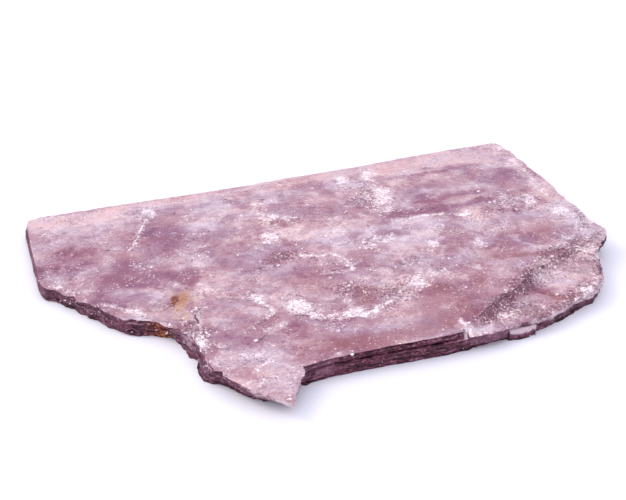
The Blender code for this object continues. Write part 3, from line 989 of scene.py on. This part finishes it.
@dataclass
class RimBreakage:
    """How the walls' thin laminae stick out and chip.  Sizes are in mm.

    Attributes:
        laminae: How many laminae the walls show.
        ragged: How far they stick out where the rim is broken.
        clean: How far they stick out where the rim is split clean.
        flake: How far the edges of the flakes on the top face stray.
        reach: How far in from the rim the faces follow.
    """

    laminae: int = 11
    ragged: float = 0.2
    clean: float = 0.06
    flake: float = 0.4
    reach: float = 0.9

    def offset(self, x: float, y: float, level: float) -> float:
        """Work out how far the rim's surface stands out.

        Args:
            x: Plan place along the back edge, in mm.
            y: Plan place towards the back, in mm.
            level: The place's level in the book, as a share of its thickness.

        Returns:
            The distance in mm, less than 0 where the rim is chipped.
        """
        if level > BOOK_TOP:
            return self.flake * (noise_at(x * 0.8, y * 0.8, 70.0) + 0.5 * noise_at(x * 2.5, y * 2.5, 80.0))
        lamina = math.floor(level * self.laminae * 0.999)
        depth = self.clean if self.is_clean(x, y) else self.ragged
        broad = noise_at(x * 0.7, y * 0.7, lamina * 3.7)
        fine = noise_at(x * 2.4, y * 2.4, lamina * 5.3)
        column = noise_at(x * 1.3, y * 1.3, 50.0)
        return depth * (0.35 * broad + 0.4 * fine + 0.9 * column)

    @staticmethod
    def is_clean(x: float, y: float) -> bool:
        """Return whether the rim is split clean at a plan place."""
        return y > -2.5 or x < 1.0 or (25.5 < x < 44.0 and y < -42.5)


@dataclass
class CrystalSlab:
    """The slab's visible skin.

    Attributes:
        cell: The width of the top face's cells, in mm.
        base_cell: The width of the base's cells, in mm.
        crack_cell: The width of the cells beside the crack, in mm.
        crack_box: The plan corners of the patch of such cells, in mm.
        wall_rows: How many rows of cells the walls have.
        weld: Points nearer than this (m) are one.
        flat_angle: Faces that bend less than this (radians) are merged first.
        sharp_angle: Edges that bend more than this (degrees) stay sharp.
        base_height: Points lower than this (mm) are on the base.
        lamina: A rise of more than this (mm) is a wall's.
        ledge_shade: A narrow step below a wall is painted in shade up to the first of these widths (mm),
            unshaded past the second.
        flake_edge: A flake's edge is dull up to the first of these heights (mm), white past the second.
        slope: How wide a crumbled step's slope is, in mm.
        slope_share: How much of a step's height its slope takes up.
        face_level: The level above which a vertex is on the top face.
        face_wear: How far the steps beside the top face have crumbled where no frost is.
        firm_x: The plan distance, in mm, up to which frosted sheet stays steep-sided.
        firmness: How steep frosted sheet stays before that distance and past it.
        ledge_split: The plan distance where the ledges' level changes, in mm.
        ledge_levels: The level of the ledges on the left and on the right of it.
        worn_levels: The level above which the steps there are worn pale.
        shelf_levels: The levels between which a low shelf turns from face to rim.
    """

    cell: float = 0.26
    base_cell: float = 1.6
    crack_cell: float = 0.07
    crack_box: tuple[tuple[float, float], tuple[float, float]] = ((14.6, -36.4), (18.0, -29.2))
    wall_rows: int = 22
    weld: float = 1e-6
    flat_angle: float = 0.002
    sharp_angle: float = 38.0
    base_height: float = 0.02
    lamina: float = 0.03
    ledge_shade: tuple[float, float] = (0.1, 0.34)
    flake_edge: tuple[float, float] = (0.03, 0.13)
    slope: float = 0.7
    slope_share: float = 0.9
    face_level: float = 0.985
    face_wear: float = 0.9
    firm_x: float = 20.0
    firmness: tuple[float, float] = (1.3, 0.35)
    ledge_split: float = 30.0
    ledge_levels: tuple[float, float] = (0.86, 0.6)
    worn_levels: tuple[float, float] = (0.80, 0.55)
    shelf_levels: tuple[float, float] = (0.58, 0.54)
    relief: CleavageRelief = field(default_factory=CleavageRelief)
    breakage: RimBreakage = field(default_factory=RimBreakage)
    finish: MicaFinish = field(default_factory=MicaFinish)

    def build(self) -> bpy.types.Object:
        """Cut, break up, paint and dress the skin.

        Returns:
            The slab's object.
        """
        skin = bmesh.new()
        skin.from_mesh(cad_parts[CRYSTAL_NODE].data)
        bmesh.ops.remove_doubles(skin, verts=skin.verts, dist=self.weld)
        bmesh.ops.dissolve_limit(skin, angle_limit=self.flat_angle, verts=skin.verts, edges=skin.edges)
        self._cut_cells(skin)
        walls = self._cut_rows(skin)
        masks = self._break_up(skin, walls)
        self._paint_marks(skin, masks)
        crowded = [face for face in skin.faces if len(face.verts) > 4]
        bmesh.ops.triangulate(skin, faces=crowded)
        mesh = keep_mesh("mica_slab", skin)
        mesh.shade_smooth()
        mesh.set_sharp_from_angle(angle=math.radians(self.sharp_angle))
        mesh.materials.append(self.finish.build())
        return put_in_scene("mica_slab", mesh)

    def _cut_cells(self, skin: BMesh) -> None:
        """Cut the faces into square cells, fine ones on the top and walls and coarse ones below.

        Args:
            skin: The mesh.
        """
        low, high = CAD_BOX
        for looks_down, width in ((False, self.cell * MM), (True, self.base_cell * MM)):
            for axis in (0, 1):
                skin.normal_update()
                faces = [face for face in skin.faces if (face.normal.z < -0.5) == looks_down]
                count = int((high[axis] - low[axis]) / width)
                places = [low[axis] + width * (step + 0.5) for step in range(count)]
                self._cut_across(skin, faces, axis, places)
        self._cut_crack(skin)

    def _cut_crack(self, skin: BMesh) -> None:
        """Cut the cells beside the crack finer, so that the crack can be a thin line.

        Args:
            skin: The mesh.
        """
        (left, front), (right, back) = self.crack_box
        low, high = PLAN.place(left, front), PLAN.place(right, back)
        skin.normal_update()
        faces = []
        for face in skin.faces:
            middle = face.calc_center_median()
            if face.normal.z > 0.5 and low.x < middle.x < high.x and low.y < middle.y < high.y:
                faces.append(face)
        count = int((high.x - low.x) / (self.crack_cell * MM))
        places = [low.x + self.crack_cell * MM * (step + 0.5) for step in range(count)]
        self._cut_across(skin, faces, 0, places)

    def _cut_across(self, skin: BMesh, faces: list[BMFace], axis: int, places: list[float]) -> None:
        """Cut faces at each of the places along an axis, halving the work at every cut.

        Args:
            skin: The mesh.
            faces: The faces to cut.
            axis: 0 for X or 1 for Y.
            places: Where to cut, in metres, in rising order.
        """
        if not places or not faces:
            return
        middle = len(places) // 2
        ends = [vertex.co[axis] for face in faces for vertex in face.verts]
        if min(ends) < places[middle] < max(ends):
            normal = Vector((1.0 - axis, float(axis), 0.0))
            faces = self._cut_at(skin, faces, normal * places[middle], normal)
        centres = [(face, face.calc_center_median()[axis]) for face in faces]
        below = [face for face, centre in centres if centre < places[middle]]
        above = [face for face, centre in centres if centre >= places[middle]]
        self._cut_across(skin, below, axis, places[:middle])
        self._cut_across(skin, above, axis, places[middle + 1:])

    def _cut_at(self, skin: BMesh, faces: list[BMFace], point: Vector, normal: Vector) -> list[BMFace]:
        """Cut faces with one plane.

        Args:
            skin: The mesh.
            faces: The faces to cut.
            point: A point on the plane.
            normal: The plane's normal.

        Returns:
            The faces that result.
        """
        edges = dict.fromkeys(edge for face in faces for edge in face.edges)
        verts = dict.fromkeys(vertex for face in faces for vertex in face.verts)
        result = bmesh.ops.bisect_plane(
            skin, geom=[*faces, *edges, *verts], dist=self.weld / 10, plane_co=point, plane_no=normal
        )
        return [item for item in result["geom"] if isinstance(item, BMFace)]

    def _cut_rows(self, skin: BMesh) -> list[BMFace]:
        """Cut the walls into rows that follow the book's sheets.

        Args:
            skin: The mesh.

        Returns:
            The walls' faces.
        """
        skin.normal_update()
        walls = [face for face in skin.faces if abs(face.normal.z) < 0.5]
        corner = PLAN.corner
        for row in range(1, self.wall_rows):
            share = row / self.wall_rows
            point = Vector((corner.x, 0.0, share * PLAN.thickness_at_left * MM))
            normal = Vector((-share * PLAN.thickness_gain, 0.0, 1.0)).normalized()
            walls = self._cut_at(skin, walls, point, normal)
        return walls

    def _break_up(self, skin: BMesh, walls: list[BMFace]) -> dict[str, np.ndarray]:
        """Give the top face its cleavage steps and the walls their chipped laminae.

        Args:
            skin: The mesh.
            walls: The walls' faces.

        Returns:
            For each vertex: its level in the book, how much it belongs to the rim and to the painted shade
            below walls, whether it is on the edge of a raised flake, and its riser's strength.
        """
        skin.verts.index_update()
        skin.verts.ensure_lookup_table()
        count = len(skin.verts)
        points = np.array([vertex.co for vertex in skin.verts])
        plan = PLAN.plan(points)
        level = points[:, 2] / MM / PLAN.thickness(plan[:, 0])
        outward = np.zeros((count, 2))
        for face in walls:
            for vertex in face.verts:
                outward[vertex.index] += face.normal.xy
        length = np.linalg.norm(outward, axis=1)
        on_wall = length > 0.0
        outward[on_wall] /= length[on_wall, None]

        tree = kdtree.KDTree(int(on_wall.sum()))
        offsets = np.zeros(count)
        for index in np.flatnonzero(on_wall):
            offsets[index] = self.breakage.offset(plan[index, 0], plan[index, 1], level[index])
            tree.insert(skin.verts[index].co, int(index))
        tree.balance()
        # the rim, and painted shade on the narrow ledges below walls
        rim = self._rim_and_ledge_shade(skin, on_wall, level)
        proud = (level - 1.0) * PLAN.thickness(plan[:, 0])
        edge = on_wall * smoothstep(*self.flake_edge, proud)
        moves = outward * offsets[:, None]
        lifts = np.zeros(count)
        riser = np.zeros(count)
        reach = self.breakage.reach * MM
        soft = self._softness(plan, level)
        slopes = self._slopes(skin, on_wall, soft)
        for index in range(count):
            vertex = skin.verts[index]
            if not on_wall[index]:
                _, nearest, distance = tree.find(vertex.co)
                if distance < reach:
                    moves[index] = moves[nearest] * (1.0 - distance / reach) ** 2
            if points[index, 2] > self.base_height * MM and level[index] > 0.5:
                depth, riser[index] = self.relief.depth(plan[index, 0], plan[index, 1])
                lifts[index] = -depth * min(1.0, level[index] - 0.5) / 0.5
        points[:, :2] += moves * MM
        points[:, 2] += lifts * MM + slopes
        for vertex, point in zip(skin.verts, points):
            vertex.co = point
        return {"level": level, "wall": rim, "edge": edge, "riser": riser}

    def _softness(self, plan: np.ndarray, level: np.ndarray) -> np.ndarray:
        """Work out how far a step beside each vertex has crumbled into a slope.

        Args:
            plan: Each vertex's plan place, in mm.
            level: Each vertex's level in the book.

        Returns:
            How far it has crumbled, 0 to 1.
        """
        on_ledge = level > np.where(plan[:, 0] < self.ledge_split, *self.ledge_levels)
        ledges = mark_amount(Tint.CRUMBLE, plan) * on_ledge
        firm = mark_amount(Tint.FROST, plan) * np.where(plan[:, 0] < self.firm_x, *self.firmness)
        return np.clip(np.where(level > self.face_level, self.face_wear - firm, ledges), 0.0, 1.0)

    def _slopes(self, skin: BMesh, on_wall: np.ndarray, soft: np.ndarray) -> np.ndarray:
        """Turn the steps that have crumbled into slopes.

        Args:
            skin: The mesh.
            on_wall: Whether each vertex is on a wall.
            soft: How far a step beside each vertex has crumbled.

        Returns:
            How far each vertex rises, in metres.
        """
        tree = plan_tree([skin.verts[index] for index in np.flatnonzero(on_wall)])
        reach = self.slope * MM
        rise = np.zeros(len(soft))
        for index in np.flatnonzero(soft > 0.05):
            spot = skin.verts[index].co
            steps = [
                (skin.verts[other].co.z - spot.z) * (1.0 - gap / reach)
                for _, other, gap in tree.find_range((spot.x, spot.y, 0.0), reach)
            ]
            rise[index] = max([0.0, *steps]) * soft[index] * self.slope_share
        return rise

    def _rim_and_ledge_shade(self, skin: BMesh, on_wall: np.ndarray, level: np.ndarray) -> np.ndarray:
        """Find the vertices of the rim: its walls, and the narrow ledges below other walls, which take the
        rim's dark colour as painted shade.

        Args:
            skin: The mesh.
            on_wall: Whether each vertex is on a wall.
            level: Each vertex's level in the book.

        Returns:
            How much each vertex belongs to the rim, 0 to 1.
        """
        in_book = on_wall & (level < BOOK_TOP)
        tree = plan_tree([skin.verts[index] for index in np.flatnonzero(in_book)])
        near, far = (width * MM for width in self.ledge_shade)
        rim = np.zeros(len(skin.verts))
        for vertex in skin.verts:
            above = vertex.co.z + self.lamina * MM
            ends = [edge.other_vert(vertex) for edge in vertex.link_edges]
            if any(in_book[end.index] and end.co.z > above for end in ends):
                rim[vertex.index] = 1.0
                continue
            spot = (vertex.co.x, vertex.co.y, 0.0)
            found = [gap for _, other, gap in tree.find_range(spot, far) if skin.verts[other].co.z > above]
            if found:
                rim[vertex.index] = min(1.0, (far - min(found)) / (far - near))
        return rim

    def _paint_marks(self, skin: BMesh, masks: dict[str, np.ndarray]) -> None:
        """Write the masks and the marks as attributes of the mesh.

        Args:
            skin: The mesh.
            masks: Masks that are known for each vertex.
        """
        plan = PLAN.plan(np.array([vertex.co for vertex in skin.verts]))
        plan[:, :2] += self._unevenness(plan)
        for tint in Tint:
            masks[tint.value] = mark_amount(tint, plan)
        worn_from = np.where(plan[:, 0] < self.ledge_split, *self.worn_levels)
        worn = smoothstep(0.0, 0.1, masks["level"] - worn_from)
        crumbly = np.clip(masks[Tint.CRUMBLE.value], 0.0, 1.0) * worn
        masks["wall"] = masks["wall"] * (1.0 - 0.7 * crumbly)
        shelf = smoothstep(*self.shelf_levels, masks["level"]) * (masks["level"] > 0.02)
        masks["wall"] = np.maximum(masks["wall"], shelf)
        masks["edge"] = masks["edge"] * np.clip(0.12 + masks[Tint.FROST.value], 0.0, 1.0)
        masks[Tint.FROST.value] = masks[Tint.FROST.value] + 0.3 * masks.pop("riser") + 0.2 * crumbly
        for name, values in masks.items():
            layer = skin.verts.layers.float.new(name)
            for vertex, value in zip(skin.verts, values):
                vertex[layer] = float(value)

    @staticmethod
    def _unevenness(plan: np.ndarray) -> np.ndarray:
        """Work out how far the marks' outlines stray at each plan place.

        Args:
            plan: The plan places, in mm.

        Returns:
            The distances along X and Y, in mm, one row each.
        """
        return np.array([
            [
                noise_at(x * 0.35, y * 0.5, 1.0 + layer) * 0.7
                + noise_at(x * 1.3, y * 1.8, 7.0 + layer) * 0.35
                for layer in (0.0, 3.7)
            ]
            for x, y, _ in plan
        ])


@dataclass(frozen=True)
class FlakeFinish:
    """Thin loose mica, from clear lilac to white."""

    name: str = "loose_mica"
    clear: Color = srgb(158, 126, 140)
    white: Color = srgb(234, 220, 221)
    roughness: float = 0.35
    gloss: float = 0.4

    def build(self) -> bpy.types.Material:
        """Make the material.

        Returns:
            The finished material.
        """
        g = Graph(self.name)
        return g.finished(g.surface({
            "Base Color": g.mix(self.clear, self.white, g.attribute("tone")),
            "Roughness": self.roughness,
            "IOR": MICA_IOR,
            "Specular IOR Level": self.gloss,
        }))


@dataclass
class LooseFlakes:
    """Torn flakes that stand on the top face, and crumbs of sheet that cling to the rim.

    Attributes:
        flakes: How many stand on the top face.
        crumbs: How many cling to the rim.
        radius: The smallest and largest radius, in mm.
        thickness: The thickness of a flake, in mm.
        stray: How far a flake lies from the slab's nearest point along X and Y, in mm.
        lowest: The lowest middle of a crumb, in mm.
        shapes: How many different outlines there are.
        seed: The seed of everything random about them.
        flake_tilt: The steepest tilt of a flake, in degrees.
        crumb_tilt: The steepest tilt of a crumb, in degrees.
    """

    flakes: int = 2000
    crumbs: int = 450
    radius: tuple[float, float] = (0.05, 0.27)
    thickness: float = 0.03
    stray: float = 0.15
    lowest: float = 0.25
    shapes: int = 24
    flake_tilt: float = 24.0
    crumb_tilt: float = 50.0
    seed: int = 41
    finish: FlakeFinish = field(default_factory=FlakeFinish)

    def build(self, slab: bpy.types.Object) -> bpy.types.Object:
        """Scatter the flakes and crumbs over the slab.

        Args:
            slab: The finished slab.

        Returns:
            The flakes' object.
        """
        rng = random.Random(self.seed)
        outlines = [self._outline(rng) for _ in range(self.shapes)]
        scatter = bmesh.new()
        tone = scatter.verts.layers.float.new("tone")
        points = np.array([vertex.co for vertex in slab.data.vertices])
        by_place = np.lexsort(points.T)
        smallest, largest = self.radius
        kinds = ((False, self.flakes, self.flake_tilt), (True, self.crumbs, self.crumb_tilt))
        for on_rim, count, tilt in kinds:
            odds = self._odds(slab.data, points, on_rim)[by_place]
            for index in rng.choices(by_place, weights=odds, k=count):
                size = rng.uniform(0.0, 1.0) ** 3.0 * (largest - smallest) + smallest
                lean = math.radians(rng.uniform(-tilt, tilt))
                turn = Euler((lean, math.radians(rng.uniform(-tilt, tilt)), rng.uniform(0.0, math.tau)))
                rise = 0.0 if on_rim else self.thickness * 0.6
                aside = [rng.uniform(-self.stray, self.stray) for _ in range(2)]
                spot = Vector(points[index]) + Vector((*aside, rise)) * MM
                spot.z = max(spot.z, self.lowest * MM)
                matrix = Matrix.Translation(spot) @ turn.to_matrix().to_4x4() @ Matrix.Scale(size * MM, 4)
                white = rng.uniform(0.0, 0.6) if on_rim else rng.uniform(0.1, 1.0)
                start = len(scatter.verts)
                scatter.from_mesh(rng.choice(outlines))
                scatter.verts.ensure_lookup_table()
                for vertex in scatter.verts[start:]:
                    vertex.co = matrix @ vertex.co
                    vertex[tone] = white
        mesh = keep_mesh("loose_flakes", scatter)
        mesh.shade_flat()
        mesh.materials.append(self.finish.build())
        return put_in_scene("loose_flakes", mesh)

    def _outline(self, rng: random.Random) -> bpy.types.Mesh:
        """Make a thin torn plate of radius 1.

        Args:
            rng: Where its outline comes from.

        Returns:
            Its mesh.
        """
        plate = bmesh.new()
        bmesh.ops.create_circle(plate, cap_ends=True, radius=1.0, segments=rng.randint(4, 7))
        slim = rng.uniform(0.35, 0.9)
        for vertex in plate.verts:
            vertex.co.x *= rng.uniform(0.7, 1.2)
            vertex.co.y *= rng.uniform(0.7, 1.2) * slim
        raised = bmesh.ops.extrude_face_region(plate, geom=plate.faces[:])["geom"]
        top = [item for item in raised if isinstance(item, BMVert)]
        bmesh.ops.translate(plate, verts=top, vec=(0.0, 0.0, self.thickness / self.radius[1] * 1.6))
        bmesh.ops.recalc_face_normals(plate, faces=plate.faces)
        return keep_mesh("flake_outline", plate)

    @staticmethod
    def _odds(mesh: bpy.types.Mesh, points: np.ndarray, on_rim: bool) -> np.ndarray:
        """Work out how likely each of the slab's vertices is to carry a flake.

        Args:
            mesh: The slab's mesh.
            points: Its vertices.
            on_rim: Whether crumbs on the rim are placed, or flakes on the top face.

        Returns:
            One weight for each vertex.
        """
        def mask(name: str) -> np.ndarray:
            """Read a painted mask.

            Args:
                name: The mask's name.

            Returns:
                Its value at each vertex.
            """
            values = np.zeros(len(points))
            mesh.attributes[name].data.foreach_get("value", values)
            return values

        plan = PLAN.plan(points)
        gather = np.array([noise.fractal(Vector((x * 0.25, y * 0.45, 3.0)), 0.7, 2.0, 4) for x, y, _ in plan])
        if on_rim:
            ragged = np.array([0.15 if RimBreakage.is_clean(x, y) else 1.0 for x, y, _ in plan])
            return (mask("wall") > 0.6) * (plan[:, 2] > 0.2) * ragged * (0.2 + np.clip(gather, 0.0, 1.0))
        on_top = (mask("level") > 0.55) * (mask("wall") < 0.3)
        torn = mask(Tint.FROST.value) * 0.9 + mask(Tint.GRIT.value) * 0.6
        return on_top * (0.02 + torn + np.clip(gather - 0.15, 0.0, 1.0) ** 2 * 2.5)


# --------------------------------------------------------------------------------------------------
# Stage
# --------------------------------------------------------------------------------------------------


@dataclass
class Studio:
    """Floor, sky and one soft lamp of a bright, even product table."""

    floor_radius: float = 1.2
    floor_drop: float = 0.02 * MM
    sky_color: Color = (0.94, 0.94, 1.125)
    key_color: Color = (1.1, 0.98, 0.84)
    sky: float = 1.27
    key_power: float = 0.75
    key_size: float = 0.25
    key_place: tuple[float, float, float] = (-0.34, 0.14, 0.36)

    def build(self) -> None:
        """Make the floor, the sky and the lamp."""
        shape = bmesh.new()
        bmesh.ops.create_circle(shape, cap_ends=True, radius=self.floor_radius, segments=64)
        bmesh.ops.translate(shape, verts=shape.verts, vec=(0.0, 0.0, -self.floor_drop))
        mesh = keep_mesh("floor", shape)
        mesh.materials.append(FloorFinish().build())
        put_in_scene("floor", mesh)
        world = bpy.data.worlds.new("sky")
        bpy.context.scene.world = world
        world.use_nodes = True
        background = world.node_tree.nodes["Background"]
        background.inputs["Color"].default_value = (*self.sky_color, 1.0)
        background.inputs["Strength"].default_value = self.sky
        light = bpy.data.lights.new("key", "AREA")
        light.shape = "SQUARE"
        light.size = self.key_size
        light.energy = self.key_power
        light.color = self.key_color
        lamp = put_in_scene("key", light)
        lamp.location = self.key_place
        lamp.rotation_euler = Vector(self.key_place).to_track_quat("Z", "Y").to_euler()
        bpy.context.scene.view_settings.view_transform = "Standard"


@dataclass
class ViewCamera:
    """The camera in front of the slab, a little to its left and looking down on it."""

    eye: tuple[float, float, float] = (-1.57, -127.63, 64.84)
    pitch: float = 61.0
    heading: float = -18.5
    lens: float = 57.65

    def build(self) -> None:
        """Make the camera and use it."""
        data = bpy.data.cameras.new("camera")
        data.lens = self.lens
        data.sensor_width = 36.0
        data.clip_start = 0.002
        data.clip_end = 10.0
        camera = put_in_scene("camera", data)
        camera.location = PLAN.place(*self.eye)
        camera.rotation_euler = Euler((math.radians(self.pitch), 0.0, math.radians(self.heading)))
        bpy.context.scene.camera = camera


def main() -> None:
    """Build the slab and its stage, and report each piece."""
    logging.basicConfig(level=logging.INFO, format="%(name)s: %(message)s")
    slab = CrystalSlab().build()
    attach(slab, "root")
    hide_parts(CRYSTAL_NODE)
    log.info("slab: %d vertices, %d faces", len(slab.data.vertices), len(slab.data.polygons))
    flakes = LooseFlakes().build(slab)
    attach(flakes, "root")
    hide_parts(CRYSTAL_NODE)
    log.info("loose flakes: %d vertices, %d faces", len(flakes.data.vertices), len(flakes.data.polygons))
    Studio().build()
    ViewCamera().build()


if __name__ == "__main__":
    main()
